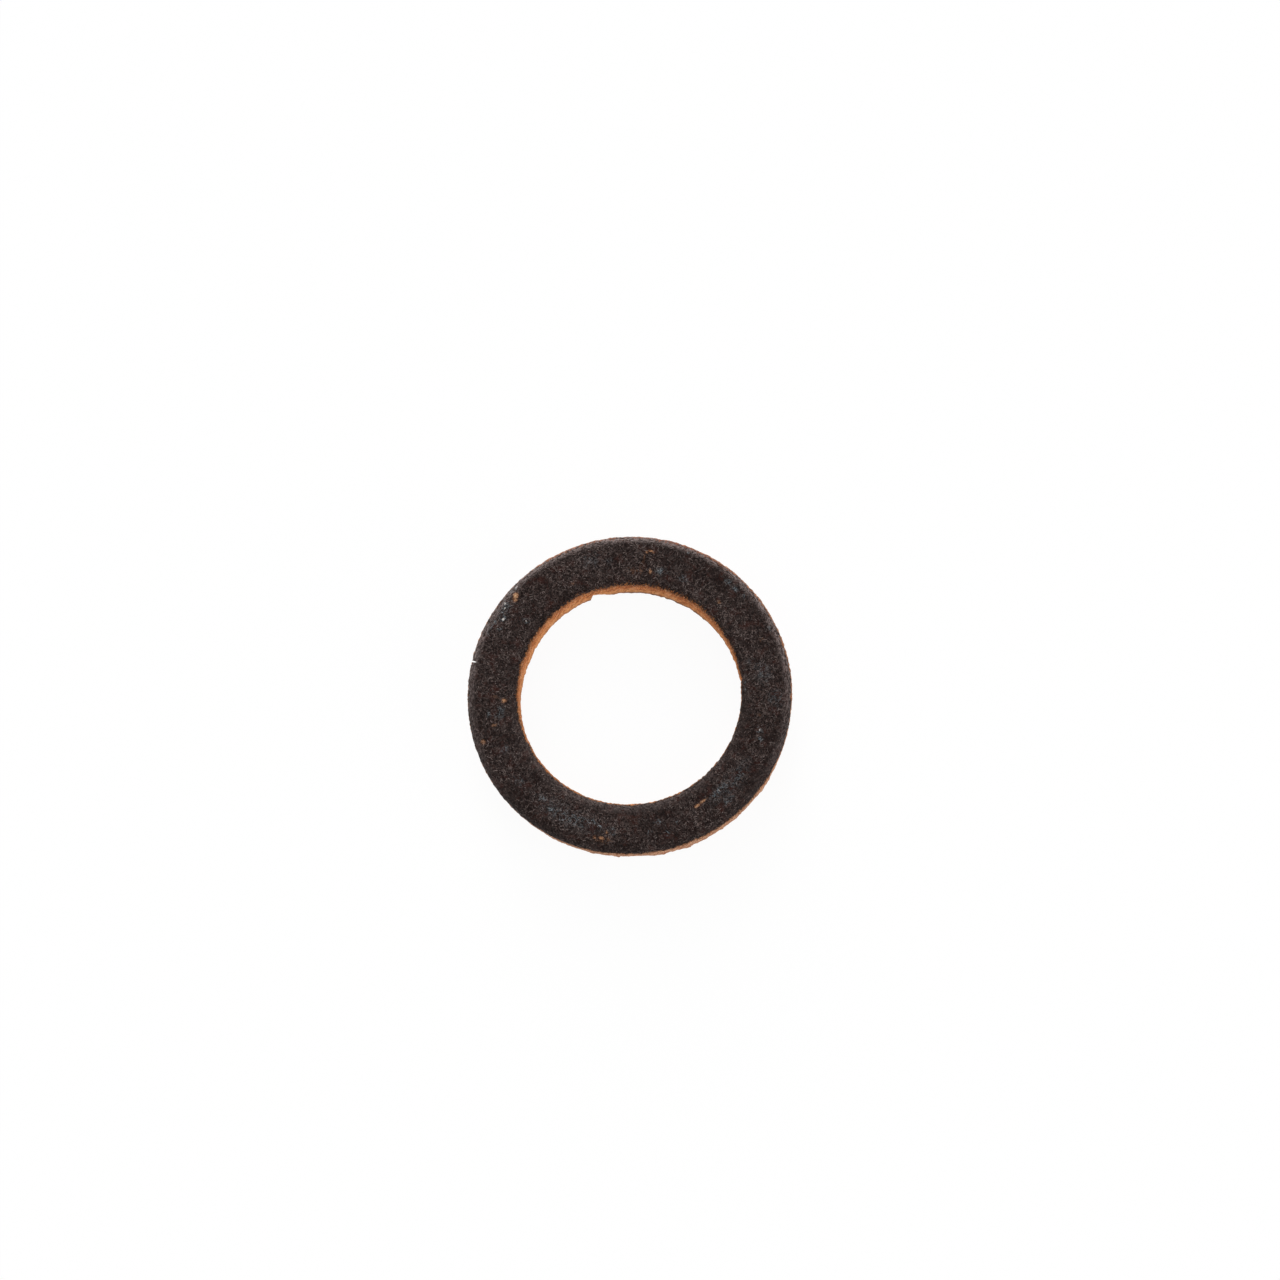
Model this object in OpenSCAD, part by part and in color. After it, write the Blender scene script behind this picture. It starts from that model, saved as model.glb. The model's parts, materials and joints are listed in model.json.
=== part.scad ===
// Moulded leather V-packing ring, lying on its two lips with the heel up.
// The axis of the ring is Z, and the lip edges lie in the plane z = 0.

/* [Ring] */
// Diameter of the bore that the rod slides in
bore_d = 20.4; // [12:0.1:60]
// Width of the ring, from the bore wall to the outer wall
section_w = 4.65; // [4.2:0.05:6]
// Height of the ring, from the lip edges to the heel face
ring_h = 4; // [3.2:0.05:6]

/* [Heel] */
// Radius that rounds the heel face into the outer wall
shoulder_r = 1; // [0.4:0.05:1.3]
// Radius that rounds the heel face into the bore wall
bore_edge_r = 0.7; // [0.2:0.05:1.3]

/* [Lips] */
// Angle between the two flanks of the V groove
groove_angle = 90; // [75:1:110]
// Radius at the root of the V groove
groove_root_r = 0.6; // [0.2:0.05:1]
// Wall left beside the mouth of the V groove at each lip
lip_w = 0.5; // [0.35:0.05:0.9]
// How far the outer lip is drawn in at its edge
draw_in = 0.2; // [0.05:0.05:0.3]
// Height over which the outer lip is drawn in
draw_in_h = 1.6; // [0.8:0.1:1.9]

/* [Damage] */
// Direction of the torn end of the sliver that is missing from the inner lip
sliver_dir = 110.5; // [0:0.5:360]
// Length of the missing sliver along the lip
sliver_len = 2.2; // [1:0.1:4]
// Depth of the missing sliver into the lip at its torn end
sliver_depth = 0.45; // [0.2:0.05:0.6]
// Height that the missing sliver reaches up the bore wall
sliver_h = 1.7; // [0.6:0.1:2.5]
// Direction of the slit in the outer wall
slit_dir = 168.5; // [0:0.5:360]
// Width of the slit at the outer wall
slit_w = 0.15; // [0.1:0.05:0.8]
// Width of the slit at its floor
slit_floor_w = 0.1; // [0.05:0.05:0.8]
// Depth of the slit into the outer wall
slit_depth = 0.4; // [0.1:0.05:0.8]
// Angle between the slit and the axis of the ring; its lower end lies clockwise, seen from above
slit_lean = 11; // [-20:1:20]

/* [Hidden] */
$fn = 96;

// How far a cutter runs past the surface that it cuts
past = 1;
bore_r = bore_d / 2;
outer_r = bore_r + section_w;

// The V groove lies midway between the walls
groove_r = bore_r + section_w / 2;
flank_angle = groove_angle / 2;
mouth_half_w = section_w / 2 - lip_w;
root_centre_h = mouth_half_w / tan(flank_angle) - groove_root_r / sin(flank_angle);

// Where the flanks of the groove meet its round root
tangent_x = groove_root_r * cos(flank_angle);
tangent_h = root_centre_h + groove_root_r * sin(flank_angle);

// Where the bore wall lies at the thin end of the sliver, seen from the torn end
thin_end_x = sqrt(pow(bore_r, 2) - pow(sliver_len, 2)) - bore_r;
sliver_lean = atan(sliver_depth / sliver_h);

// Waste outside a round corner whose centre is at the origin; side is 1 outwards and -1 inwards
module corner_waste(r, side) {
    difference() {
        translate([side < 0 ? -r - past : 0, 0]) square(r + past);
        circle(r);
    }
}

// Half section of the blank: heel, straight walls and the drawn-in outer lip
module blank_section() {
    difference() {
        polygon([
            [bore_r, 0], [outer_r - draw_in, 0], [outer_r, draw_in_h],
            [outer_r, ring_h], [bore_r, ring_h],
        ]);
        translate([outer_r - shoulder_r, ring_h - shoulder_r]) corner_waste(shoulder_r, 1);
        translate([bore_r + bore_edge_r, ring_h - bore_edge_r]) corner_waste(bore_edge_r, -1);
    }
}

// Half section of the V groove, open downwards past the lip edges
module groove_section() {
    translate([groove_r, 0]) {
        polygon([
            [-mouth_half_w, 0], [-mouth_half_w, -past], [mouth_half_w, -past], [mouth_half_w, 0],
            [tangent_x, tangent_h], [-tangent_x, tangent_h],
        ]);
        translate([0, root_centre_h]) circle(groove_root_r);
    }
}

// Sliver torn off the inner lip: deepest at its torn end and at the lip edge, running out along and above
module torn_sliver() {
    rotate(sliver_dir)
        translate([bore_r, 0, 0])
            rotate([0, -sliver_lean, 0])
                translate([0, 0, -past])
                    linear_extrude(sliver_h + 2 * past)
                        polygon([
                            [-past, 0], [sliver_depth, 0], [thin_end_x, -sliver_len], [-past, -sliver_len],
                        ]);
}

// Narrow slit that leans down the outer wall from the heel face
module wall_slit() {
    rotate(slit_dir)
        translate([outer_r, 0, ring_h])
            rotate([-slit_lean, 0, 0])
                translate([0, 0, -ring_h - past])
                    linear_extrude(ring_h + 2 * past)
                        polygon([
                            [-slit_depth, -slit_floor_w / 2], [0, -slit_w / 2], [past, -slit_w / 2],
                            [past, slit_w / 2], [0, slit_w / 2], [-slit_depth, slit_floor_w / 2],
                        ]);
}

module leather_v_packing() {
    color([0.23, 0.19, 0.18])
        difference() {
            rotate_extrude()
                difference() {
                    blank_section();
                    groove_section();
                }
            torn_sliver();
            wall_slit();
        }
}

leather_v_packing();
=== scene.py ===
"""A leather V-packing ring that lies heel up on a white floor.

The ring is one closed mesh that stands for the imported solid: a dark finished heel, bare cut walls, two ragged lips and
the V groove underneath. Loose fibres lie on it. Lengths are in millimetres until a mesh is made. Directions round the
ring run from +X towards +Y, and the tables give them, and their half widths, in degrees.
"""

import json
import math

import bpy
import numpy as np
from mathutils import Matrix, Vector, noise


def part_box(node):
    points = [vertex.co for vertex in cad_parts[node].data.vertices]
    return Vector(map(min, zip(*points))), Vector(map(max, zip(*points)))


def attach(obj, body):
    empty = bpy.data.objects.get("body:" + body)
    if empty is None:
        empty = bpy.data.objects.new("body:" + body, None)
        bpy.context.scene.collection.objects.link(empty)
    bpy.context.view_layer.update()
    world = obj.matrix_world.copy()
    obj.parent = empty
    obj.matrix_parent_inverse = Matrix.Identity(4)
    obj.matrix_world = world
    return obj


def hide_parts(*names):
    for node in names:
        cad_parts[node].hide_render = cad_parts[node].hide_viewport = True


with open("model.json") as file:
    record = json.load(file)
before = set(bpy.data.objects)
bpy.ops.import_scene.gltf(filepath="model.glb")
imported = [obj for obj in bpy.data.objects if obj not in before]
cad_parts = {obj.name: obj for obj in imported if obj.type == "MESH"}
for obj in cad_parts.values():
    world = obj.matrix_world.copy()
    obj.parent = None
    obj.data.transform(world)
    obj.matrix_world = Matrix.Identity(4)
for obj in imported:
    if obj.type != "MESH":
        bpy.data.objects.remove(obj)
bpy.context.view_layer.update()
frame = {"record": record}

MM = 0.001
NODE = "leather_v_packing"

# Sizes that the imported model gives
mounts = {mount["name"]: mount for mount in frame["record"]["mounts"]}
node_low, node_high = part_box(NODE)
RING_H = node_high.z / MM
OUTER_R = min(node_high.x, node_high.y, -node_low.x, -node_low.y) / MM
BORE_R = mounts["rod_bore"]["dims"]["r_mm"]

# Sizes of the section, as in the part's source
SHOULDER_R = 1.0
BORE_EDGE_R = 0.7
GROOVE_HALF_ANGLE = math.radians(45)
GROOVE_ROOT_R = 0.6
LIP_W = 0.5
DRAW_IN = 0.2
DRAW_IN_H = 1.6
SLIVER_DIR, SLIVER_LEN, SLIVER_DEPTH, SLIVER_H = math.radians(110.5), 2.2, 0.45, 1.7
SLIT_DIR, SLIT_W, SLIT_FLOOR_W, SLIT_DEPTH, SLIT_LEAN = math.radians(168.5), 0.15, 0.1, 0.4, math.radians(11)
GROOVE_R = (BORE_R + OUTER_R) / 2
MOUTH_HALF_W = (OUTER_R - BORE_R) / 2 - LIP_W

# How far the heel, the bore wall and the outer wall lie inside the solid, which leaves room for their relief
HEEL_SKIN, BORE_SKIN, OUTER_SKIN = 0.05, 0.03, 0.01

# Rounding of the lips at the walls and at the groove, and of the bend where the outer wall is drawn in
LIP_R, MOUTH_R, BEND_R = 0.07, 0.09, 2.0

# Columns of the mesh: even ones round the ring, and closer ones across the slit and beside the torn end of the sliver
EVEN_COLUMNS, SLIT_COLUMNS, TEAR_COLUMNS = 765, 19, 9
# Where the closer columns at the tear start and end, from its direction, and the least gap to the even ones
TEAR_SPAN, COLUMN_GAP = (-0.024, 0.006), 0.003

# Height of the relief on the heel, on its rounded edges, on the cut walls and in the groove
HEEL_DENTS, HEEL_GRAIN, HEEL_CROWN = 0.02, 0.02, 0.04
EDGE_GRAIN = 0.035
CUT_STREAKS, CUT_LUMPS, CUT_GRAIN = 0.02, 0.025, 0.035
FLESH_LUMPS, FLESH_GRAIN = 0.05, 0.03

# How far beside the slit the columns lean with it, and from where no more; and how far in from the outer wall
LEAN_NEAR, LEAN_FAR, LEAN_SHALLOW, LEAN_DEEP = 0.3, 2.8, 0.8, 1.6

# The outer cut bulges a little below the finish: how far, at what height, and over what height
BULGE, BULGE_AT, BULGE_SPAN = 0.03, 2.7, 0.5

# The ragged lips: height of their long and short nicks, how much is worn off all round, and how far they sway
LONG_NICKS, SHORT_NICKS, LIP_WEAR, LIP_SWAY = 0.16, 0.06, 0.05, 0.06

# The steps of the outer wall's lower edge: how deep, how many levels, how deep everywhere, and where they are deeper
STEP_DEPTH, STEP_LEVELS, STEP_BASE, STEP_SWELLS = 0.14, 4, 0.6, [(182, 20, 0.6), (288, 50, 0.9)]

# How far the dark finish runs down over each edge of the heel, how far its edge strays, and where it runs further:
# direction, half width, more
BORE_DROP, OUTER_DROP, STRAY = 0.3, 0.8, 0.12
BORE_RUNS = [(5, 25, 0.1), (108, 30, 0.28), (190, 20, 0.06), (325, 50, 0.16)]
OUTER_RUNS = [
    (40, 40, -0.28), (100, 35, -0.32), (230, 26, 0.42), (296, 24, -0.15), (340, 20, 0.15),
    (60, 7, -0.08), (90, 7, 0.08), (117, 10, -0.12), (286, 9, 0.2),
]
# Points of the outline from the middle of the heel to the lower part of the outer wall
OUTER_POINTS = 42

# Noise: how far apart two seeds lie, how fast its octaves get weaker, and how much finer each is
SEED_SHIFT, FALL_OFF, LACUNARITY = 13.7, 1.0, 2.1

# The cut fibres stand this steeply on the walls
FIBRE_SLOPE = math.radians(64)

# Slow waves of the outline: how many round the ring, height, direction of a crest
OUTER_WAVES = [(2, 0.03, 13), (3, 0.02, -44), (4, 0.015, 30), (5, 0.012, 2)]
BORE_WAVES = [(1, 0.045, -60), (3, 0.025, -3), (4, 0.014, 22), (5, 0.011, -27), (6, 0.013, 5)]

# Shorter swells of the walls: direction, half width, height
OUTER_SWELLS = [(45, 18, 0.03), (195, 18, -0.035), (252, 10, 0.04), (285, 16, -0.05), (305, 12, 0.03)]
BORE_SWELLS = [(8, 2, 0.12), (2, 3, -0.03), (65, 3, -0.05), (101, 3, -0.06), (157, 3, -0.06), (206, 4, -0.05)]


def srgb(red, green, blue):
    """Linear colour for a screen colour given from 0 to 255."""
    linear = [c / 12.92 if c <= 0.04045 else ((c + 0.055) / 1.055) ** 2.4 for c in (red / 255, green / 255, blue / 255)]
    return (*linear, 1.0)


def smooth(x, low, high):
    """0 below low, 1 above high, and a smooth ramp between them."""
    t = np.clip((x - low) / (high - low), 0, 1)
    return t * t * (3 - 2 * t)


def waves(theta, table):
    return sum(height * np.cos(count * (theta - math.radians(crest))) for count, height, crest in table)


def swells(theta, table):
    """Sum of smooth swells round the ring, each given by direction, half width and height."""
    turned = [(np.degrees(theta) - direction + 180) % 360 - 180 for direction, _, _ in table]
    return sum(height * np.exp(-((t / width) ** 2)) for t, (_, width, height) in zip(turned, table))


def field(points, size, seed, octaves=3):
    """Smooth noise from about -1 to 1 at each point; size is that of its largest features, and may differ by axis."""
    shifted = points / np.array(size) + seed * SEED_SHIFT
    values = [noise.fractal(Vector(p), FALL_OFF, LACUNARITY, octaves) for p in shifted.reshape(-1, 3)]
    return np.array(values).reshape(points.shape[:-1])


def place(r, theta, z):
    return np.stack([r * np.cos(theta), r * np.sin(theta), z + 0 * theta], -1)


def fillet_outline(corners):
    """Closed outline through rounded corners: r, z, rounding radius, and point spacing on the arc and after it."""
    points = []
    for k, (r, z, radius, arc_step, line_step) in enumerate(corners):
        before = np.array(corners[k - 1][:2])
        here = np.array((r, z))
        after = np.array(corners[(k + 1) % len(corners)][:2])
        into = (here - before) / np.linalg.norm(here - before)
        out = (after - here) / np.linalg.norm(after - here)
        turn = math.acos(np.clip(into @ out, -1, 1))
        setback = radius * math.tan(turn / 2)
        side = math.copysign(1, into[0] * out[1] - into[1] * out[0])
        centre = here - into * setback + side * radius * np.array((-into[1], into[0]))
        start = here - into * setback - centre
        count = max(2, round(radius * turn / arc_step))
        for angle in np.linspace(0, side * turn, count + 1):
            c, s = math.cos(angle), math.sin(angle)
            points.append((centre + (c * start[0] - s * start[1], s * start[0] + c * start[1]), line_step))
    dense = []
    for k, (point, step) in enumerate(points):
        dense.append(point)
        following = points[(k + 1) % len(points)][0]
        gap = np.linalg.norm(following - point)
        pieces = round(gap / step) if gap > 1.5 * step else 1
        dense += [point + (following - point) * n / pieces for n in range(1, pieces)]
    return np.array(dense)


def directions():
    """Directions of the mesh's columns: even, with extra columns at the slit and at the torn end of the sliver."""
    even = np.linspace(-math.pi, math.pi, EVEN_COLUMNS, endpoint=False)
    slit_angle = SLIT_W / OUTER_R
    at_slit = SLIT_DIR + np.linspace(-0.9, 0.9, SLIT_COLUMNS) * slit_angle
    at_tear = SLIVER_DIR + np.linspace(*TEAR_SPAN, TEAR_COLUMNS)
    by_slit = abs(even - SLIT_DIR) < slit_angle
    by_tear = (even > at_tear[0] - COLUMN_GAP) & (even < at_tear[-1] + COLUMN_GAP)
    return np.sort(np.concatenate([even[~(by_slit | by_tear)], at_slit, at_tear]))


class Surface:
    """The ring's surface as a grid: rows run round the ring, and columns run round its section."""

    def __init__(self):
        self.section()
        self.theta = directions()
        self.angle = self.theta[:, None]
        self.radius = np.repeat(self.outline[None, :, 0], len(self.theta), 0)
        self.height = np.repeat(self.outline[None, :, 1], len(self.theta), 0)
        self.relief()
        self.wander()
        self.lips()
        self.sliver()
        self.slit()
        self.finish_edges()
        self.height = np.clip(self.height, 0, RING_H)
        self.points = place(self.radius, self.angle + self.lean_of_slit(), self.height)
        around = np.roll(self.points, -1, 0) - np.roll(self.points, 1, 0)
        along = np.roll(self.points, -1, 1) - np.roll(self.points, 1, 1)
        normals = np.cross(along, around)
        self.normals = normals / np.linalg.norm(normals, axis=-1, keepdims=True)

    def section(self):
        """The outline of the section, the path length along it, and how far each of its points is on each part."""
        apex_h = MOUTH_HALF_W / math.tan(GROOVE_HALF_ANGLE)
        bore, outer, top = BORE_R + BORE_SKIN, OUTER_R - OUTER_SKIN, RING_H - HEEL_SKIN
        self.top = top
        self.outline = fillet_outline([
            (bore, 0, LIP_R, 0.05, 0.17),
            (bore, top, BORE_EDGE_R, 0.09, 0.095),
            (outer, top, SHOULDER_R, 0.09, 0.17),
            (outer, DRAW_IN_H, BEND_R, 0.17, 0.17),
            (outer - DRAW_IN, 0, LIP_R, 0.05, 0.15),
            (GROOVE_R + MOUTH_HALF_W, 0, MOUTH_R, 0.06, 0.26),
            (GROOVE_R, apex_h, GROOVE_ROOT_R, 0.2, 0.26),
            (GROOVE_R - MOUTH_HALF_W, 0, MOUTH_R, 0.06, 0.15),
        ])
        r, z = self.outline.T
        along = np.roll(self.outline, -1, 0) - np.roll(self.outline, 1, 0)
        along /= np.linalg.norm(along, axis=1)[:, None]
        self.facing = np.stack([-along[:, 1], along[:, 0]], 1)
        steps = np.linalg.norm(np.diff(self.outline, axis=0), axis=1)
        self.path = np.concatenate([[0], np.cumsum(steps)])
        self.upper_half = 1.0 * (z > RING_H / 2)
        self.on_groove = ((abs(r - GROOVE_R) < MOUTH_HALF_W - 0.05) & (z < RING_H / 2)).astype(float)
        self.on_heel = smooth(self.facing[:, 1], 0.2, 0.9) * self.upper_half
        self.on_outer = smooth(self.facing[:, 0], 0.3, 0.9) * (1 - self.on_groove)
        self.on_bore = smooth(-self.facing[:, 0], 0.3, 0.9) * (r < BORE_R + BORE_EDGE_R)

    def twisted(self, size):
        """The surface twisted round Z and drawn out, so that noise on it runs up the walls along the fibres."""
        lean = (self.on_bore - self.on_outer) / (math.tan(FIBRE_SLOPE) * GROOVE_R)
        turned = place(self.radius, self.angle + lean * self.height, self.height)
        return turned / np.array(size)

    def relief(self):
        """Dents and grain of the finish, bundles of fibre on the cuts, and matted flesh in the groove."""
        base = place(self.radius, self.angle, self.height)
        across = (self.outline[:, 0] - GROOVE_R) / (GROOVE_R - BORE_R)
        dents = field(base, 1.6, seed=1)
        fine = field(base, 0.3, seed=2, octaves=2)
        relief = self.on_heel * (HEEL_DENTS * dents + HEEL_GRAIN * fine - HEEL_CROWN * across**2)
        relief += EDGE_GRAIN * fine * self.upper_half * (1 - self.on_heel)
        streaks = field(self.twisted((0.35, 0.35, 1.2)), 1.0, seed=3, octaves=2)
        lumps = field(base, 0.8, seed=4, octaves=2)
        relief += (self.on_outer + self.on_bore) * (CUT_STREAKS * streaks + CUT_LUMPS * lumps + CUT_GRAIN * fine)
        flesh = FLESH_LUMPS * field(base, (0.7, 0.7, 0.5), seed=5) + FLESH_GRAIN * field(base, 0.3, seed=6, octaves=2)
        relief += self.on_groove * flesh
        self.radius += relief * self.facing[:, 0]
        self.height += relief * self.facing[:, 1]

    def wander(self):
        """Neither wall is a true circle, and the outer cut bulges a little below the finish."""
        outward = smooth(self.outline[:, 0], BORE_R, OUTER_R)
        self.radius += (waves(self.angle, OUTER_WAVES) + swells(self.angle, OUTER_SWELLS)) * outward
        self.radius += (waves(self.angle, BORE_WAVES) + swells(self.angle, BORE_SWELLS)) * (1 - outward)
        self.radius += BULGE * np.exp(-(((self.outline[:, 1] - BULGE_AT) / BULGE_SPAN) ** 2)) * self.on_outer

    def lips(self):
        """Both lips end in a ragged edge, and the outer one is stepped."""
        for middle, seed in ((BORE_R, 7), (OUTER_R - DRAW_IN, 8)):
            edge = place(middle, self.angle, 0)
            nicks = LONG_NICKS * field(edge, 1.3, seed, octaves=4)
            nicks += SHORT_NICKS * field(edge, 0.35, seed + 20, octaves=2)
            near = smooth(-abs(self.outline[:, 0] - middle), -0.9, -0.4) * (1 - smooth(self.outline[:, 1], 0, 0.9))
            self.height += np.clip(nicks + LIP_WEAR, 0, None) * near
            self.radius += LIP_SWAY * field(edge, 0.5, seed + 30) * near
        edge = place(OUTER_R, self.angle, 0)
        levels = STEP_LEVELS * field(edge, 1.7, seed=9, octaves=2)
        steps = (np.floor(levels) + smooth(levels % 1, 0, 0.35)) / STEP_LEVELS
        steps += 0.35 * field(edge, 0.45, seed=12, octaves=2)
        low = self.on_outer * (1 - smooth(self.outline[:, 1], 0.3, 1.5))
        self.radius += STEP_DEPTH * steps * low * (STEP_BASE + swells(self.angle, STEP_SWELLS))

    def sliver(self):
        """The sliver torn off the inner lip: deepest at its torn end, and leaning out to nothing above."""
        behind_tear = (SLIVER_DIR - self.angle) * BORE_R
        ramp = smooth(behind_tear, -0.3, 0.15) * np.clip(1 - behind_tear / SLIVER_LEN, 0, 1)
        torn = np.clip(SLIVER_DEPTH * (ramp - self.height / SLIVER_H), 0, None) * (ramp > 0)
        lip_back = BORE_R + LIP_W + np.clip(self.height, 0, None)
        front = (self.radius < lip_back) & (self.height < RING_H / 2)
        pressed = lip_back - (lip_back - self.radius) * (1 - torn / (lip_back - BORE_R))
        self.radius = np.where(front, pressed, self.radius)

    def slit(self):
        """The slit in the outer wall, from top to bottom."""
        from_middle = abs(self.angle - SLIT_DIR) * OUTER_R
        notch = SLIT_DEPTH * np.clip((SLIT_W / 2 - from_middle) / (SLIT_W / 2 - SLIT_FLOOR_W / 2), 0, 1)
        root = OUTER_R - 2 * SLIT_DEPTH
        pressed = root + (self.radius - root) * (1 - notch / (OUTER_R - root))
        self.radius = np.where(self.radius > root, pressed, self.radius)

    def lean_of_slit(self):
        """How far each point turns so that the columns beside the slit lean with it."""
        near = 1 - smooth(abs(self.angle - SLIT_DIR) * OUTER_R, LEAN_NEAR, LEAN_FAR)
        near = near * smooth(self.radius, OUTER_R - LEAN_DEEP, OUTER_R - LEAN_SHALLOW)
        return -near * math.tan(SLIT_LEAN) * (RING_H - self.height) / OUTER_R

    def finish_edges(self):
        """Path lengths, in each direction, where the dark finish starts on the bore side and ends on the outer one."""
        r, z = self.outline.T
        middle = np.argmin(abs(r - GROOVE_R) + (z < RING_H / 2) * OUTER_R)
        rising, falling = slice(0, middle), slice(middle, middle + OUTER_POINTS)
        depth = self.top - z
        edge = place(GROOVE_R, self.theta, 0)
        bore_drop = BORE_DROP + swells(self.theta, BORE_RUNS) + STRAY * field(edge, 1.2, seed=10)
        outer_drop = OUTER_DROP + swells(self.theta, OUTER_RUNS) + STRAY * field(edge, 1.5, seed=11)
        self.finish_start = np.interp(-bore_drop, -depth[rising], self.path[rising])
        self.finish_end = np.interp(outer_drop, depth[falling], self.path[falling])

    def at(self, theta, path):
        """Point and outward normal of the surface at each direction and path length."""
        count = len(self.theta)
        turn = (theta - self.theta[0]) % (2 * math.pi) + self.theta[0]
        row = np.interp(turn, np.append(self.theta, self.theta[0] + 2 * math.pi), np.arange(count + 1))
        column = np.interp(path, self.path, np.arange(len(self.path)))
        i, j = np.floor(row).astype(int), np.minimum(np.floor(column).astype(int), len(self.path) - 2)
        u, v = (row - i)[..., None], (column - j)[..., None]
        i, after = i % count, (i + 1) % count

        def blend(grid):
            near = (1 - u) * grid[i, j] + u * grid[after, j]
            far = (1 - u) * grid[i, j + 1] + u * grid[after, j + 1]
            return (1 - v) * near + v * far

        normal = blend(self.normals)
        return blend(self.points), normal / np.linalg.norm(normal, axis=-1, keepdims=True)


def patches(points):
    """Broad darker and lighter patches of the heel, about -1 to 1."""
    return field(points, 2.6, seed=14, octaves=2)


# Places where the finish is scuffed down to tan leather: direction, radius, length round the ring, width, strength
SCUFFS = [
    (81.8, 13.42, 0.34, 0.17, 1.0), (83, 13.23, 0.2, 0.26, 0.8), (80.4, 13.3, 0.18, 0.22, 0.75),
    (83.8, 12.8, 0.16, 0.44, 0.5), (84.1, 12.3, 0.25, 0.5, 0.4), (84.8, 11.6, 0.4, 0.7, 0.35),
    (88.5, 11.4, 0.9, 0.5, 0.3), (80.4, 11.5, 0.2, 0.36, 0.95), (22, 13.1, 0.25, 0.6, 0.4),
    (45.5, 11.75, 0.3, 0.25, 0.7), (117, 11.5, 0.4, 0.4, 0.3), (139, 13.9, 0.42, 0.4, 1.2),
    (140.4, 13.7, 0.45, 0.4, 0.75), (183.7, 11.48, 0.34, 0.4, 0.85), (193.8, 12.65, 0.25, 0.5, 0.6),
    (181.8, 12.3, 0.3, 0.5, 0.35), (199, 14.05, 0.45, 0.34, 0.75), (257.2, 13.7, 0.3, 0.3, 0.65),
    (259.8, 13.65, 0.36, 0.18, 1.2), (261.4, 13.1, 0.2, 0.28, 0.7), (262.6, 13.65, 0.26, 0.34, 0.5),
    (260, 13.85, 1.2, 0.5, 0.35), (300.8, 12.22, 0.4, 0.2, 1.3), (303.8, 12.14, 0.8, 0.16, 0.9),
    (349.8, 12.1, 0.22, 0.34, 0.45),
]

# Where the heel's rounded edges are drawn paler, a painted highlight towards the lamps, and where the walls
# get painted shade at their foot and the outer cut a darker brown below the finish: direction, half width, strength
HIGHLIGHT_OUTSIDE = [(102, 48, 0.6), (22, 42, 0.42), (170, 34, 0.3)]
HIGHLIGHT_INSIDE = [(262, 62, 0.2)]
DARKER_AT_BACK = [(80, 46, 0.7)]

# How ragged the edge of the dark finish is all round, and where it is more so
RAGGED_BASE, RAGGED = 0.4, [(85, 50, 1.0)]

# Places where the finish has a pale blue-grey bloom, given in the same way as the scuffs; above 1 it is nearly white
BLOOMS = [
    (138.6, 14.6, 0.4, 0.3, 1.3), (136.4, 14.4, 0.4, 0.3, 1.3), (143.8, 14.2, 0.45, 0.35, 1.4),
    (145.2, 13.95, 0.4, 0.35, 1.35), (149.3, 13.5, 0.45, 0.45, 1.5), (144.7, 11.65, 0.3, 0.4, 1.35),
    (152.2, 14.1, 0.35, 0.3, 1.25), (153.1, 13.4, 0.3, 0.3, 1.2), (146, 13.9, 1.3, 0.7, 0.5),
    (155, 14.1, 1.0, 0.4, 0.4), (48.5, 13.7, 0.5, 0.4, 0.9), (40, 13.9, 0.4, 0.25, 1.1),
    (106, 12.9, 1.2, 1.0, 0.35), (99, 12.5, 0.5, 0.5, 0.5), (187.4, 11.7, 0.4, 0.35, 1.15),
    (188.9, 12.0, 0.8, 0.6, 0.7), (188.9, 13.0, 0.5, 0.25, 0.9), (204.7, 12.5, 0.5, 0.5, 1.0),
    (220, 12.85, 0.9, 0.6, 0.5), (231.6, 12.5, 0.7, 0.4, 0.7), (237.2, 12.9, 0.6, 0.35, 1.0),
    (242.4, 13.1, 0.6, 0.4, 0.9), (248, 12.4, 0.7, 0.4, 1.0), (254.6, 12.4, 0.6, 0.4, 1.0),
    (258, 12.7, 0.4, 0.3, 1.1), (263.8, 12.9, 0.35, 0.5, 0.9), (245, 12.7, 4.5, 1.2, 0.4),
    (278.6, 13.1, 0.3, 0.3, 1.0), (283, 12.3, 0.5, 0.3, 1.1), (285, 13.5, 0.35, 0.3, 1.1),
    (290, 12.75, 0.3, 0.4, 0.7), (312, 12.3, 1.3, 0.5, 1.1), (322.8, 12.7, 0.7, 0.5, 0.9),
    (312, 13.5, 0.9, 0.5, 0.5), (318, 12.6, 3.5, 1.0, 0.4), (343.5, 12.45, 0.4, 0.35, 1.35),
    (340, 12.7, 0.45, 0.4, 1.0), (357, 13.4, 1.2, 0.9, 0.5), (14.3, 11.5, 0.3, 0.4, 0.9),
    (8, 12.4, 1.6, 1.0, 0.4), (24.6, 14.2, 0.3, 0.25, 1.0), (44.7, 13.67, 0.5, 0.3, 1.0),
    (65, 11.8, 0.6, 0.5, 0.9), (75.5, 11.7, 0.7, 0.5, 0.8), (68, 14.2, 0.25, 0.2, 1.2),
    (3.2, 10.66, 0.6, 0.16, 1.2),
]


def marks(theta, radius, table):
    """How near each point is to the marks of a table: 1 at a mark's middle times its strength, 0 at twice its size."""
    found = np.zeros(np.broadcast(theta, radius).shape)
    for direction, mark_r, length, width, strength in table:
        round_it = (theta - math.radians(direction) + math.pi) % (2 * math.pi) - math.pi
        away = np.hypot(round_it * mark_r / (length / 2), (radius - mark_r) / (width / 2))
        found = np.maximum(found, strength * np.clip(1 - away / 2, 0, 1))
    return found


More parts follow.
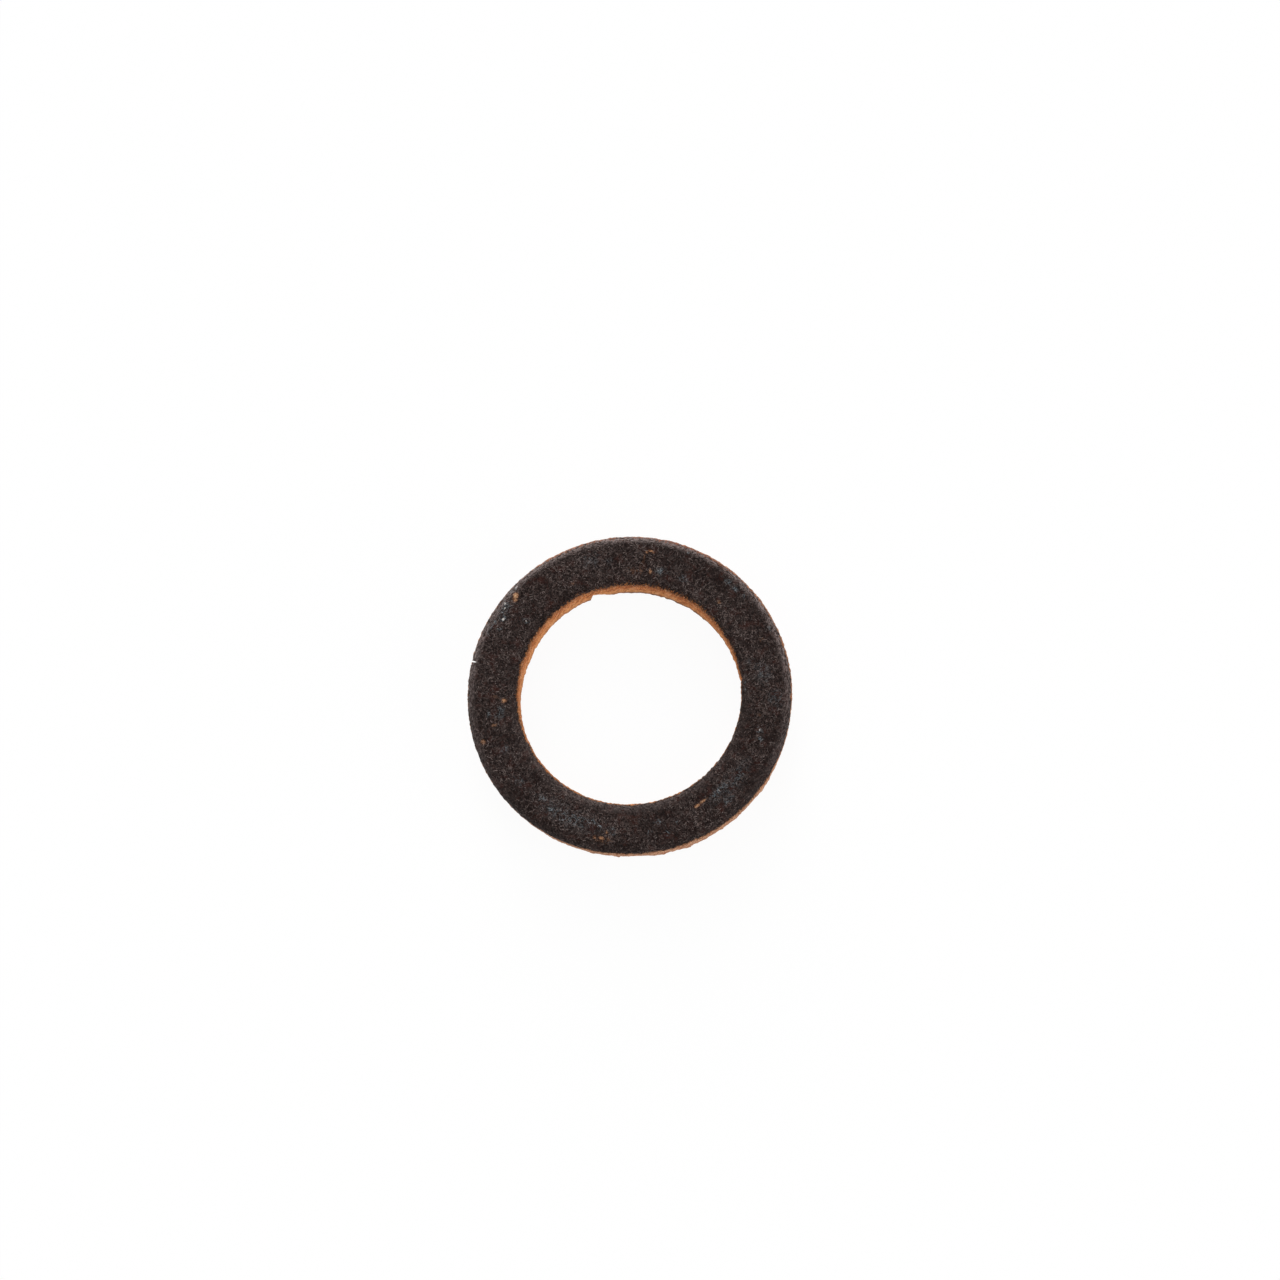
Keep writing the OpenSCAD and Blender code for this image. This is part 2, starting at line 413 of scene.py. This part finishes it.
def new_piece(name, vertices, faces, material, fields):
    """A smooth mesh piece that rides on the ring's body, with its point fields."""
    mesh = bpy.data.meshes.new(name)
    mesh.from_pydata((vertices * MM).tolist(), [], faces)
    mesh.polygons.foreach_set("use_smooth", np.ones(len(mesh.polygons), bool))
    for title, values in fields.items():
        attribute = mesh.attributes.new(title, "FLOAT", "POINT")
        attribute.data.foreach_set("value", np.asarray(values, np.float32).ravel())
    mesh.materials.append(material)
    piece = bpy.data.objects.new(name, mesh)
    bpy.context.scene.collection.objects.link(piece)
    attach(piece, "root")
    return piece


def build_ring(surface, material):
    """The closed mesh of the ring, with the fields that its material reads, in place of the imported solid."""
    rows, columns = surface.radius.shape
    i = np.arange(rows)[:, None] * columns
    after = np.roll(np.arange(rows), -1)[:, None] * columns
    j = np.arange(columns)[None, :]
    beside = np.roll(np.arange(columns), -1)[None, :]
    faces = np.stack([i + j, i + beside, after + beside, after + j], -1).reshape(-1, 4)
    on_top = surface.on_heel > 0.5
    full = np.ones((rows, columns))
    finish = np.minimum(surface.path - surface.finish_start[:, None], surface.finish_end[:, None] - surface.path)
    ring = new_piece("packing_ring", surface.points.reshape(-1, 3), faces.tolist(), material, {
        "finish_mm": finish,
        "scuff": marks(surface.angle, surface.radius, SCUFFS) * on_top,
        "bloom": marks(surface.angle, surface.radius, BLOOMS) * on_top,
        "groove": full * surface.on_groove,
        "outer_side": full * smooth(surface.outline[:, 0], GROOVE_R - 0.5, GROOVE_R + 0.5),
        "polish": full * smooth(abs(surface.facing[:, 0]), 0.25, 0.8),
        # Painted highlight: the rounded outer edge and the bore edge drawn paler where they face the lamps
        "worn": surface.upper_half * (
            swells(surface.angle, HIGHLIGHT_OUTSIDE) * smooth(surface.facing[:, 0], 0.12, 0.72)
            + swells(surface.angle, HIGHLIGHT_INSIDE) * (1 - smooth(surface.outline[:, 0], BORE_R + 0.3, BORE_R + 1.3))
        ),
        "patch": patches(surface.points),
        "ragged": full * (RAGGED_BASE + swells(surface.angle, RAGGED)),
        # Painted shade at the foot of the walls, and a darker brown below the finish on the outer cut, most at the back
        "soiled": full * swells(surface.angle, DARKER_AT_BACK),
    })
    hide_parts(NODE)


class Nodes:
    """Short calls for building a material's nodes."""

    def __init__(self, material):
        material.use_nodes = True
        self.tree = material.node_tree
        self.tree.nodes.clear()

    def add(self, kind, inputs=None, **settings):
        """A new node with its settings; an input is a value, or a socket that is linked to it."""
        made = self.tree.nodes.new(kind)
        for name, value in settings.items():
            setattr(made, name, value)
        for name, value in (inputs or {}).items():
            if isinstance(value, bpy.types.NodeSocket):
                self.tree.links.new(value, made.inputs[name])
            else:
                made.inputs[name].default_value = value
        return made

    def math(self, operation, a, b=0.0, clamp=False):
        return self.add("ShaderNodeMath", {0: a, 1: b}, operation=operation, use_clamp=clamp).outputs[0]

    def ramp(self, value, low, high, to_low=0.0, to_high=1.0):
        """Smooth step of a value from low to high."""
        inputs = {"Value": value, "From Min": low, "From Max": high, "To Min": to_low, "To Max": to_high}
        return self.add("ShaderNodeMapRange", inputs, interpolation_type="SMOOTHSTEP").outputs[0]

    def mix(self, factor, a, b, blend="MIX"):
        inputs = {0: factor, 6: a, 7: b}
        return self.add("ShaderNodeMix", inputs, data_type="RGBA", blend_type=blend).outputs[2]

    def mix_values(self, factor, a, b):
        return self.add("ShaderNodeMix", {0: factor, 2: a, 3: b}, data_type="FLOAT").outputs[0]

    def noise(self, place, scale, detail=2.0, roughness=0.5, distortion=0.0):
        inputs = {"Vector": place, "Scale": scale, "Detail": detail, "Roughness": roughness, "Distortion": distortion}
        return self.add("ShaderNodeTexNoise", inputs).outputs["Fac"]

    def stretch(self, place, scale):
        """The place with its axes scaled apart, so that a pattern on it is drawn out."""
        return self.add("ShaderNodeVectorMath", {0: place, 1: scale}, operation="MULTIPLY").outputs[0]

    def leaning(self, place, height, slope):
        """The place turned about Z in step with the height, so that what runs up a wall leans."""
        inputs = {"Vector": place, "Angle": self.math("MULTIPLY", height, slope)}
        return self.add("ShaderNodeVectorRotate", inputs, rotation_type="Z_AXIS").outputs[0]

    def field(self, name):
        return self.add("ShaderNodeAttribute", attribute_name=name).outputs["Fac"]

    def place_mm(self):
        place = self.add("ShaderNodeTexCoord").outputs["Object"]
        return self.add("ShaderNodeVectorMath", {0: place, "Scale": 1 / MM}, operation="SCALE").outputs[0]

    def threads(self, place, scale, width, detail=1.0, distortion=2.0):
        """Thin curling lines, 1 on a line and 0 off it."""
        value = self.noise(place, scale, detail, 0.5, distortion)
        away = self.math("ABSOLUTE", self.math("SUBTRACT", value, 0.5))
        return self.ramp(away, width, 0.0)

    def finish(self, **inputs):
        """The surface shader with its output; names of its sockets are given with _ for a space."""
        named = {name.replace("_", " "): value for name, value in inputs.items()}
        shader = self.add("ShaderNodeBsdfPrincipled", named)
        self.add("ShaderNodeOutputMaterial", {"Surface": shader.outputs[0]})


def felt(n, place, scale, low, high):
    """Short strands that lie across each other in three directions, 1 on a strand and 0 between them."""
    strands = None
    for angle in (0.3, 1.35, 2.4):
        turned = n.add("ShaderNodeVectorRotate", {"Vector": place, "Angle": angle}, rotation_type="Z_AXIS").outputs[0]
        strand = n.noise(n.stretch(turned, scale), 1.0, 1.0, 0.5, 1.1)
        strands = strand if strands is None else n.math("MAXIMUM", strands, strand)
    return n.ramp(strands, low, high)


# Colours of the heel's finish, from gaps to strands, its bloom and scuffs, and the painted highlight on its edge
FINISH_GAP, FINISH_DARK = srgb(11, 4, 3), srgb(31, 20, 18)
FINISH_BROWN, FINISH_STRAND = srgb(46, 22, 17), srgb(99, 86, 82)
BLOOM_GREY, BLOOM_WHITE = srgb(126, 136, 141), srgb(204, 196, 190)
SCUFF_DARK, SCUFF_TAN = srgb(108, 70, 50), srgb(190, 148, 114)
SCUFF_FAINT, SCUFF_BRIGHT = srgb(112, 72, 52), srgb(204, 168, 124)
HIGHLIGHT_DARK, HIGHLIGHT_PALE, HIGHLIGHT_BROWN = srgb(50, 37, 33), srgb(162, 147, 144), srgb(84, 50, 38)


def dark_finish(n, place):
    """Colour and relief of the heel: near black, with matted curling strands, pale bloom and tan scuffs."""
    fine = n.noise(place, 7.0, 3.0, 0.65, 0.6)
    mottle = n.noise(place, 1.0, 3.0, 0.6)
    curls = n.math("MAXIMUM", n.threads(place, 2.9, 0.055, 1.0, 0.6), felt(n, place, (9.5, 4.0, 5.5), 0.57, 0.68))
    strength = n.ramp(n.noise(place, 1.3, 2.0), 0.35, 0.65, 0.3, 1.0)
    raised = n.math("MULTIPLY", n.math("MULTIPLY", curls, strength), n.ramp(fine, 0.35, 0.6))
    colour = n.mix(n.ramp(fine, 0.35, 0.65), FINISH_GAP, FINISH_DARK)
    colour = n.mix(n.ramp(mottle, 0.5, 0.68, 0.0, 0.8), colour, FINISH_BROWN)
    raised = n.math("MULTIPLY", raised, n.math("ADD", n.math("MULTIPLY", n.field("patch"), 0.6), 1.0))
    colour = n.mix(n.math("MULTIPLY", raised, 0.9), colour, FINISH_STRAND)
    colour = shoulder_highlight(n, place, colour)
    gate = n.ramp(n.noise(place, 3.4, 2.0, 0.6, 0.8), 0.46, 0.6)
    bloom = n.math("MULTIPLY", n.math("MULTIPLY", n.field("bloom"), gate), n.math("ADD", raised, 0.05))
    colour = n.mix(n.math("MULTIPLY", bloom, 1.7, True), colour, BLOOM_GREY)
    colour = n.mix(n.ramp(n.field("bloom"), 1.0, 1.2), colour, BLOOM_WHITE)
    scuff = n.ramp(n.math("ADD", n.field("scuff"), n.math("MULTIPLY", n.math("SUBTRACT", fine, 0.5), 1.2)), 0.1, 0.75)
    tan = n.mix(n.ramp(fine, 0.35, 0.65), SCUFF_DARK, SCUFF_TAN)
    tan = n.mix(n.ramp(n.field("scuff"), 0.65, 0.25, 0.0, 0.7), tan, SCUFF_FAINT)
    tan = n.mix(n.ramp(n.field("scuff"), 0.85, 1.1), tan, SCUFF_BRIGHT)
    colour = n.mix(n.math("MULTIPLY", scuff, 0.92), colour, tan)
    relief = n.math("ADD", n.math("MULTIPLY", fine, 0.7), n.math("MULTIPLY", raised, 0.6))
    return colour, relief


def shoulder_highlight(n, place, colour):
    """The colour of the heel with a painted highlight on its rounded edge, drawn paler and streaked round the ring."""
    x, y, z = n.add("ShaderNodeSeparateXYZ", {0: place}).outputs
    round_it = n.math("MULTIPLY", n.math("ARCTAN2", y, x), OUTER_R)
    radius = n.math("SQRT", n.math("ADD", n.math("MULTIPLY", x, x), n.math("MULTIPLY", y, y)))
    unrolled = n.add("ShaderNodeCombineXYZ", {0: round_it, 1: radius, 2: z}).outputs[0]
    streaks = n.noise(n.stretch(unrolled, (2.8, 8.0, 8.0)), 1.0, 3.0, 0.7, 0.8)
    pale = n.mix(n.ramp(streaks, 0.42, 0.6), HIGHLIGHT_DARK, HIGHLIGHT_PALE)
    pale = n.mix(n.ramp(streaks, 0.4, 0.3, 0.0, 0.6), pale, HIGHLIGHT_BROWN)
    return n.mix(n.math("MULTIPLY", n.field("worn"), n.ramp(streaks, 0.36, 0.56, 0.7, 1.2), True), colour, pale)


# Colours of the bare leather: of the bore wall, of the outer wall, of both, and of the flesh side in the groove
BORE_DARK, BORE_TAN = srgb(170, 100, 58), srgb(255, 184, 122)
# The paler foot colour of the bore wall is a painted highlight
BORE_TOP, BORE_FOOT_HIGHLIGHT = srgb(146, 78, 40), srgb(250, 192, 130)
OUTER_DARK, OUTER_TAN = srgb(154, 102, 74), srgb(238, 192, 160)
BUNDLE_GAP, BUNDLE_TOP, GRAIN_DARK = srgb(144, 76, 46), srgb(255, 206, 162), srgb(116, 62, 40)
# The last of these, a grey, is painted shade along the foot of the walls
MOTTLE_BROWN, LAYER_BROWN, FOOT_SHADE_GREY = srgb(176, 112, 78), srgb(150, 88, 58), srgb(112, 90, 82)
FLESH_DARK, FLESH_TAN = srgb(120, 78, 50), srgb(180, 130, 92)


def bare_leather(n, place):
    """Colour and relief of the cut walls and lips, and of the matted flesh side in the groove."""
    outer_side = n.field("outer_side")
    height = n.add("ShaderNodeSeparateXYZ", {0: place}).outputs[2]
    lean = 1 / (math.tan(FIBRE_SLOPE) * GROOVE_R)
    slope = n.mix_values(outer_side, lean, -lean)
    steep, back, shallow = [n.leaning(place, height, n.math("MULTIPLY", slope, times)) for times in (1.0, -0.9, 2.4)]
    strands = None
    for way, scale in ((steep, (10, 10, 3.2)), (back, (11, 11, 4.0)), (shallow, (10, 10, 5.0)), (place, (5, 5, 11))):
        strand = n.noise(n.stretch(way, scale), 1.0, 2.0, 0.6, 0.8)
        strands = strand if strands is None else n.math("MAXIMUM", strands, strand)
    bundles = n.noise(n.stretch(steep, (2.8, 2.8, 1.0)), 1.0, 3.0, 0.6, 0.8)
    grain = n.noise(place, 9.0, 3.0, 0.7)
    mottle = n.noise(place, 1.3, 3.0, 0.6, 0.5)
    layers = n.noise(n.stretch(place, (0.7, 0.7, 4.0)), 1.0, 2.0, 0.5, 0.6)
    inner = n.mix(n.ramp(strands, 0.5, 0.72), BORE_DARK, BORE_TAN)
    inner = n.mix(n.ramp(height, 1.6, 3.0, 0.0, 0.35), inner, BORE_TOP)
    # Painted highlight: the lower part of the bore wall drawn paler
    inner = n.mix(n.ramp(height, 1.9, 1.1, 0.0, 0.35), inner, BORE_FOOT_HIGHLIGHT)
    outer = n.mix(n.ramp(strands, 0.5, 0.72), OUTER_DARK, OUTER_TAN)
    tan = n.mix(outer_side, inner, outer)
    tan = n.mix(n.ramp(bundles, 0.5, 0.36, 0.0, 0.6), tan, BUNDLE_GAP)
    tan = n.mix(n.ramp(bundles, 0.53, 0.66, 0.0, 0.42), tan, BUNDLE_TOP)
    tan = n.mix(n.ramp(grain, 0.44, 0.32, 0.0, 0.7), tan, GRAIN_DARK)
    tan = n.mix(n.ramp(mottle, 0.5, 0.75, 0.0, 0.35), tan, MOTTLE_BROWN)
    tan = n.mix(n.ramp(layers, 0.54, 0.7, 0.0, 0.35), tan, LAYER_BROWN)
    # Painted shade: grey along the foot of the walls, all round and most at the back
    lip = n.math("ADD", height, n.math("MULTIPLY", n.math("SUBTRACT", mottle, 0.5), 1.2))
    soiled = n.math("MULTIPLY", n.ramp(lip, 0.8, 0.3), n.math("ADD", n.field("soiled"), 0.1, True))
    tan = n.mix(soiled, tan, FOOT_SHADE_GREY)
    matted = n.noise(place, 2.5, 4.0, 0.7, 1.5)
    flesh = n.mix(n.ramp(matted, 0.3, 0.7), FLESH_DARK, FLESH_TAN)
    colour = n.mix(n.field("groove"), tan, flesh)
    relief = n.math("ADD", n.math("MULTIPLY", strands, 0.8), n.math("ADD", n.math("MULTIPLY", bundles, 0.5), grain))
    return colour, relief, bundles


# Depth of the bumps that the material draws
BUMP_DEPTH = 0.06

# Colours of the cuts where the finish ends: specks and flecks, the stain along its edge, and a darker brown below it
SPECK_BROWN, FLECK_PALE = srgb(104, 72, 46), srgb(236, 188, 158)
STAIN_BROWN, OUTER_DARKER_BROWN = srgb(104, 68, 42), srgb(114, 70, 58)


def stained_cut(n, place, tan, edge):
    """The colour of the cuts, speckled, flecked and stained below the edge of the finish, and darker on the outer cut
    at the back.
    """
    below = n.field("finish_mm")
    specks = n.noise(n.stretch(place, (6.0, 6.0, 3.5)), 1.0, 3.0, 0.7, 0.5)
    specks = n.ramp(n.math("ADD", specks, n.ramp(below, -1.3, 0.0, 0.0, 0.17)), 0.58, 0.7)
    stained = n.mix(n.math("MULTIPLY", specks, 0.75), tan, SPECK_BROWN)
    flecks = n.ramp(n.noise(n.stretch(place, (7.0, 7.0, 4.0)), 1.0, 2.0, 0.6, 0.4), 0.58, 0.68)
    flecks = n.math("MULTIPLY", flecks, n.ramp(below, -0.9, -0.1))
    stained = n.mix(n.math("MULTIPLY", flecks, 0.6), stained, FLECK_PALE)
    stained = n.mix(n.ramp(edge, -0.22, 0.05, 0.0, 0.85), stained, STAIN_BROWN)
    darker_outer = n.math("MULTIPLY", n.math("MULTIPLY", n.field("soiled"), n.field("outer_side")), n.ramp(edge, -0.8, -0.1))
    return n.mix(n.math("MULTIPLY", darker_outer, 1.2, True), stained, OUTER_DARKER_BROWN)


def leather_material():
    """Dark finish on the heel, and bare leather on the cuts and in the groove."""
    material = bpy.data.materials.new("leather")
    n = Nodes(material)
    place = n.place_mm()
    dark, heel_relief = dark_finish(n, place)
    tan, cut_relief, bundles = bare_leather(n, place)
    fray = n.math("MULTIPLY", n.math("SUBTRACT", n.noise(place, 5.0, 3.0, 0.75), 0.5), 2.2)
    fray = n.math("MULTIPLY", fray, n.field("ragged"))
    fray = n.math("ADD", fray, n.math("MULTIPLY", n.math("SUBTRACT", bundles, 0.5), 0.3))
    edge = n.math("ADD", n.field("finish_mm"), fray)
    finish = n.ramp(edge, -0.06, 0.1)
    relief = n.mix_values(finish, cut_relief, heel_relief)
    n.finish(
        Base_Color=n.mix(finish, stained_cut(n, place, tan, edge), dark),
        Roughness=n.mix_values(finish, 0.85, n.mix_values(n.field("polish"), 0.62, 0.48)),
        Specular_IOR_Level=0.05,
        Sheen_Weight=0.015,
        Sheen_Roughness=0.4,
        Sheen_Tint=(0.9, 0.85, 0.82, 1.0),
        Normal=n.add("ShaderNodeBump", {"Strength": 0.9, "Distance": BUMP_DEPTH * MM, "Height": relief}).outputs[0],
    )
    return material


# Colours of fibres: the darkest and the lightest, tinted ones, pale ones, and those that lie on a scuff
HEEL_FIBRE = srgb(12, 7, 6), srgb(122, 109, 105), srgb(118, 127, 132), srgb(200, 196, 190)
CUT_FIBRE = srgb(176, 104, 58), srgb(240, 172, 116), srgb(218, 174, 146), srgb(240, 214, 190)
SCUFFED_FIBRE = srgb(176, 126, 88)

# Sides of a fibre's tube, points along it, and its height over its width
SIDES, JOINTS, FLATNESS = 3, 6, 0.6


def fibre_material(name, low, high, tint, pale):
    """Loose fibres between two colours; tinted ones have the third, and pale ones the last."""
    material = bpy.data.materials.new(name)
    n = Nodes(material)
    place = n.place_mm()
    shade = n.math("ADD", n.field("shade"), n.math("MULTIPLY", n.math("SUBTRACT", n.noise(place, 5.0), 0.5), 0.6))
    colour = n.mix(n.math("MULTIPLY", n.field("tint"), 1.0, True), n.mix(n.ramp(shade, 0.0, 1.0), low, high), tint)
    colour = n.mix(n.field("pale"), colour, pale)
    colour = n.mix(n.ramp(n.field("scuff"), 0.3, 0.7), colour, SCUFFED_FIBRE)
    n.finish(Base_Color=colour, Roughness=0.75, Specular_IOR_Level=0.1)
    return material


def fibre_tubes(surface, theta, path, heading, length, curl, lift, sink, half_w):
    """Fibres that lie on the surface: closed flat tapering tubes, sunk into it at both ends.

    Gives their vertices and faces, and how many vertices each fibre has.
    """
    t = np.linspace(0, 1, JOINTS)
    turn = heading[:, None] + curl[:, None] * length[:, None] * (t - 0.5)
    step = length[:, None] / (JOINTS - 1)
    round_it = np.cumsum(np.cos(turn) * step, 1)
    along = np.cumsum(np.sin(turn) * step, 1)
    round_it -= round_it.mean(1, keepdims=True)
    along -= along.mean(1, keepdims=True)
    foot, normal = surface.at(theta[:, None] + round_it / GROOVE_R, path[:, None] + along)
    rise = lift[:, None] * np.sin(math.pi * t) - sink * (1 - np.sin(math.pi * t)) ** 2
    spine = foot + normal * rise[..., None]
    forward = np.gradient(spine, axis=1)
    forward /= np.linalg.norm(forward, axis=-1, keepdims=True)
    aside = np.cross(normal, forward)
    aside /= np.linalg.norm(aside, axis=-1, keepdims=True)
    up = np.cross(forward, aside)
    girth = half_w[:, None] * np.sqrt(np.sin(math.pi * np.clip(t, 0.08, 0.92)))
    rings = []
    for angle in np.arange(SIDES) * 2 * math.pi / SIDES + math.pi / 2:
        spoke = math.cos(angle) * aside + FLATNESS * math.sin(angle) * up
        rings.append((spine + spoke * girth[..., None])[:, 1:-1])
    rings = np.stack(rings, 2).reshape(len(theta), -1, 3)
    vertices = np.concatenate([spine[:, :1], rings, spine[:, -1:]], 1)
    per_fibre = vertices.shape[1]
    last_ring = 1 + (JOINTS - 3) * SIDES
    pattern = []
    for side in range(SIDES):
        beside = (side + 1) % SIDES
        pattern.append((0, 1 + beside, 1 + side))
        pattern.append((per_fibre - 1, last_ring + side, last_ring + beside))
        for ring in range(JOINTS - 3):
            a, b = 1 + ring * SIDES, 1 + (ring + 1) * SIDES
            pattern.append((a + side, a + beside, b + beside, b + side))
    faces = [tuple(v + k * per_fibre for v in face) for k in range(len(theta)) for face in pattern]
    return vertices.reshape(-1, 3), faces, per_fibre


def finish_span(surface, theta):
    """Path lengths where the dark finish starts and ends in given directions."""
    period = 2 * math.pi
    return [np.interp(theta, surface.theta, edge, period=period) for edge in (surface.finish_start, surface.finish_end)]


def scatter_heel_fibres(surface, count=8200):
    """Short curling fibres matted on the dark finish, fewer on its rounded edges."""
    draw = np.random.default_rng(21)
    theta = draw.uniform(-math.pi, math.pi, 2 * count)
    start, end = finish_span(surface, theta)
    path = start + (end - start) * draw.uniform(0, 1, 2 * count)
    foot, normal = surface.at(theta, path)
    # Fewer and darker fibres on the rounded edge, so that the painted highlight there shows through
    on_edge = smooth(normal[:, 2], 0.95, 0.75) * np.clip(0.3 + swells(theta, HIGHLIGHT_OUTSIDE), 0, 1)
    kept = np.flatnonzero(draw.uniform(0, 1, 2 * count) > 0.75 * on_edge)[:count]
    theta, path, foot, on_edge = theta[kept], path[kept], foot[kept], on_edge[kept]
    vertices, faces, per_fibre = fibre_tubes(
        surface, theta, path,
        heading=draw.uniform(0, 2 * math.pi, count),
        length=draw.uniform(0.12, 0.52, count),
        curl=draw.normal(0, 4.5, count),
        lift=draw.uniform(0.0, 0.02, count),
        sink=0.03,
        half_w=draw.uniform(0.018, 0.04, count),
    )
    radius = np.hypot(foot[:, 0], foot[:, 1])
    bloom = marks(theta, radius, BLOOMS)
    patch = 1 + 0.6 * patches(foot)
    chosen = draw.uniform(0, 1, count)
    new_piece("heel_fibres", vertices, faces, fibre_material("matted_fibre", *HEEL_FIBRE), {
        "shade": np.repeat(draw.beta(1.1, 1.9, count) * patch * (1 - 0.4 * on_edge), per_fibre),
        "tint": np.repeat(bloom * (chosen < 0.65) * draw.uniform(0.4, 1.4, count), per_fibre),
        "pale": np.repeat(bloom > 1.05, per_fibre),
        "scuff": np.repeat(marks(theta, radius, SCUFFS), per_fibre),
    })


def scatter_cut_fibres(surface, count=1900):
    """Short fibres that stand out of the cut walls and the lips, most of them along the streaks."""
    draw = np.random.default_rng(34)
    theta = draw.uniform(-math.pi, math.pi, count)
    start, end = finish_span(surface, theta)
    lip_end = surface.path[surface.on_outer > 0.5].max() + 0.2
    outside = draw.uniform(0, 1, count) < 0.57
    share = draw.uniform(0, 1, count)
    path = np.where(outside, end + (lip_end - end) * share, start * share)
    # Path runs up the bore wall and down the outer one, so one heading leans the right way on each
    heading = math.pi - FIBRE_SLOPE + draw.normal(0, 1.1, count)
    vertices, faces, per_fibre = fibre_tubes(
        surface, theta, path, heading,
        length=draw.uniform(0.12, 0.42, count),
        curl=draw.normal(0, 4.0, count),
        lift=draw.uniform(0.0, 0.02, count),
        sink=0.02,
        half_w=draw.uniform(0.012, 0.024, count),
    )
    new_piece("cut_fibres", vertices, faces, fibre_material("cut_fibre", *CUT_FIBRE), {
        "shade": np.repeat(draw.uniform(0, 1, count), per_fibre),
        "tint": np.repeat(outside * draw.uniform(0.3, 1.0, count), per_fibre),
        "pale": np.repeat(draw.uniform(0, 1, count) < 0.04, per_fibre),
    })


# The photograph's frame: its side, the ring's centre on the heel in it, and the size of a pixel there
PHOTO_PX = 1280
RING_PX = (628.85, 692.2)
MM_PER_PX = 0.09136

# How far the camera tilts from straight down, the direction that it looks towards, its distance, and its sensor's width
VIEW_TILT = math.radians(12.2)
VIEW_LEAN = math.radians(102.5)
VIEW_DISTANCE = 300.0
SENSOR = 36.0

# Lamps: name, direction and elevation that they shine from, strength, and the angle that they spread over
LAMPS = [
    ("back_light", 102, 38, 0.8, 40),
    ("low_back_light", 98, 13, 2.7, 30),
    ("left_light", 190, 45, 0.4, 50),
    ("right_light", 345, 22, 1.1, 40),
    ("front_light", 278, 28, 0.4, 50),
]
# Strength of the light from all round
AMBIENT = 0.44

WHITE = (1, 1, 1, 1)
# Colour of the floor's own surface, and how much of it gives way to plain white where it is seen
FLOOR_COLOUR = (0.92, 0.92, 0.92, 1.0)
FLOOR_WHITE = 0.94
# Side of the floor, and how far it lies below the lips, in metres
FLOOR_SIDE, FLOOR_GAP = 8.0, 0.00001


def make_camera():
    """Camera at the photograph's angle: tilted away from straight down, with the picture's up close to +Y."""
    lean = Vector((math.cos(VIEW_LEAN), math.sin(VIEW_LEAN), 0))
    across = Vector((lean.y, -lean.x, 0))
    up = Vector((0, 0, 1))
    back = up * math.cos(VIEW_TILT) - lean * math.sin(VIEW_TILT)
    leaned = lean * math.cos(VIEW_TILT) + up * math.sin(VIEW_TILT)
    right = leaned * math.cos(VIEW_LEAN) + across * math.sin(VIEW_LEAN)
    above = leaned * math.sin(VIEW_LEAN) - across * math.cos(VIEW_LEAN)
    offset = right * (PHOTO_PX / 2 - RING_PX[0]) + above * (RING_PX[1] - PHOTO_PX / 2)
    aim = Vector((0, 0, RING_H)) + offset * MM_PER_PX
    data = bpy.data.cameras.new("camera")
    data.sensor_width = SENSOR
    data.lens = SENSOR * VIEW_DISTANCE / (PHOTO_PX * MM_PER_PX)
    data.clip_start, data.clip_end = 0.01, 10.0
    camera = bpy.data.objects.new("camera", data)
    turn = Matrix((right, above, back)).transposed().to_4x4()
    camera.matrix_world = Matrix.Translation((aim + back * VIEW_DISTANCE) * MM) @ turn
    bpy.context.scene.collection.objects.link(camera)
    bpy.context.scene.camera = camera


def make_lamp(name, direction, elevation, strength, spread):
    """Distant soft lamp that shines from a direction and an elevation; its angles are in degrees."""
    data = bpy.data.lights.new(name, "SUN")
    data.energy, data.angle = strength, math.radians(spread)
    lamp = bpy.data.objects.new(name, data)
    round_z, rise = math.radians(direction), math.radians(elevation)
    towards = Vector((math.cos(round_z) * math.cos(rise), math.sin(round_z) * math.cos(rise), math.sin(rise)))
    lamp.rotation_mode = "QUATERNION"
    lamp.rotation_quaternion = towards.to_track_quat("Z", "Y")
    bpy.context.scene.collection.objects.link(lamp)


def seen_directly(n):
    """1 for rays that the camera, a reflection or a clear surface sends, and 0 for the light that reaches things."""
    path = n.add("ShaderNodeLightPath").outputs
    mirrored = n.math("MAXIMUM", path["Is Glossy Ray"], path["Is Transmission Ray"])
    return n.math("MAXIMUM", path["Is Camera Ray"], mirrored)


def floor_material():
    """White floor that keeps a light shadow."""
    material = bpy.data.materials.new("white_floor")
    n = Nodes(material)
    diffuse = n.add("ShaderNodeBsdfDiffuse", {"Color": FLOOR_COLOUR}).outputs[0]
    white = n.add("ShaderNodeEmission", {"Color": WHITE, "Strength": 1.0}).outputs[0]
    share = n.math("MULTIPLY", seen_directly(n), FLOOR_WHITE)
    shader = n.add("ShaderNodeMixShader", {0: share, 1: diffuse, 2: white})
    n.add("ShaderNodeOutputMaterial", {"Surface": shader.outputs[0]})
    return material


def make_stage():
    """White floor, white surroundings to the eye, and soft studio light."""
    bpy.ops.mesh.primitive_plane_add(size=FLOOR_SIDE, location=(0, 0, -FLOOR_GAP))
    floor = bpy.context.object
    floor.name = "floor"
    floor.data.materials.append(floor_material())
    for lamp in LAMPS:
        make_lamp(*lamp)
    world = bpy.data.worlds.new("studio")
    bpy.context.scene.world = world
    n = Nodes(world)
    strength = n.math("ADD", AMBIENT, n.math("MULTIPLY", seen_directly(n), 1 - AMBIENT))
    shader = n.add("ShaderNodeBackground", {"Color": WHITE, "Strength": strength})
    n.add("ShaderNodeOutputWorld", {"Surface": shader.outputs[0]})
    bpy.context.scene.view_settings.view_transform = "Standard"


make_camera()
make_stage()
ring_surface = Surface()
build_ring(ring_surface, leather_material())
scatter_heel_fibres(ring_surface)
scatter_cut_fibres(ring_surface)
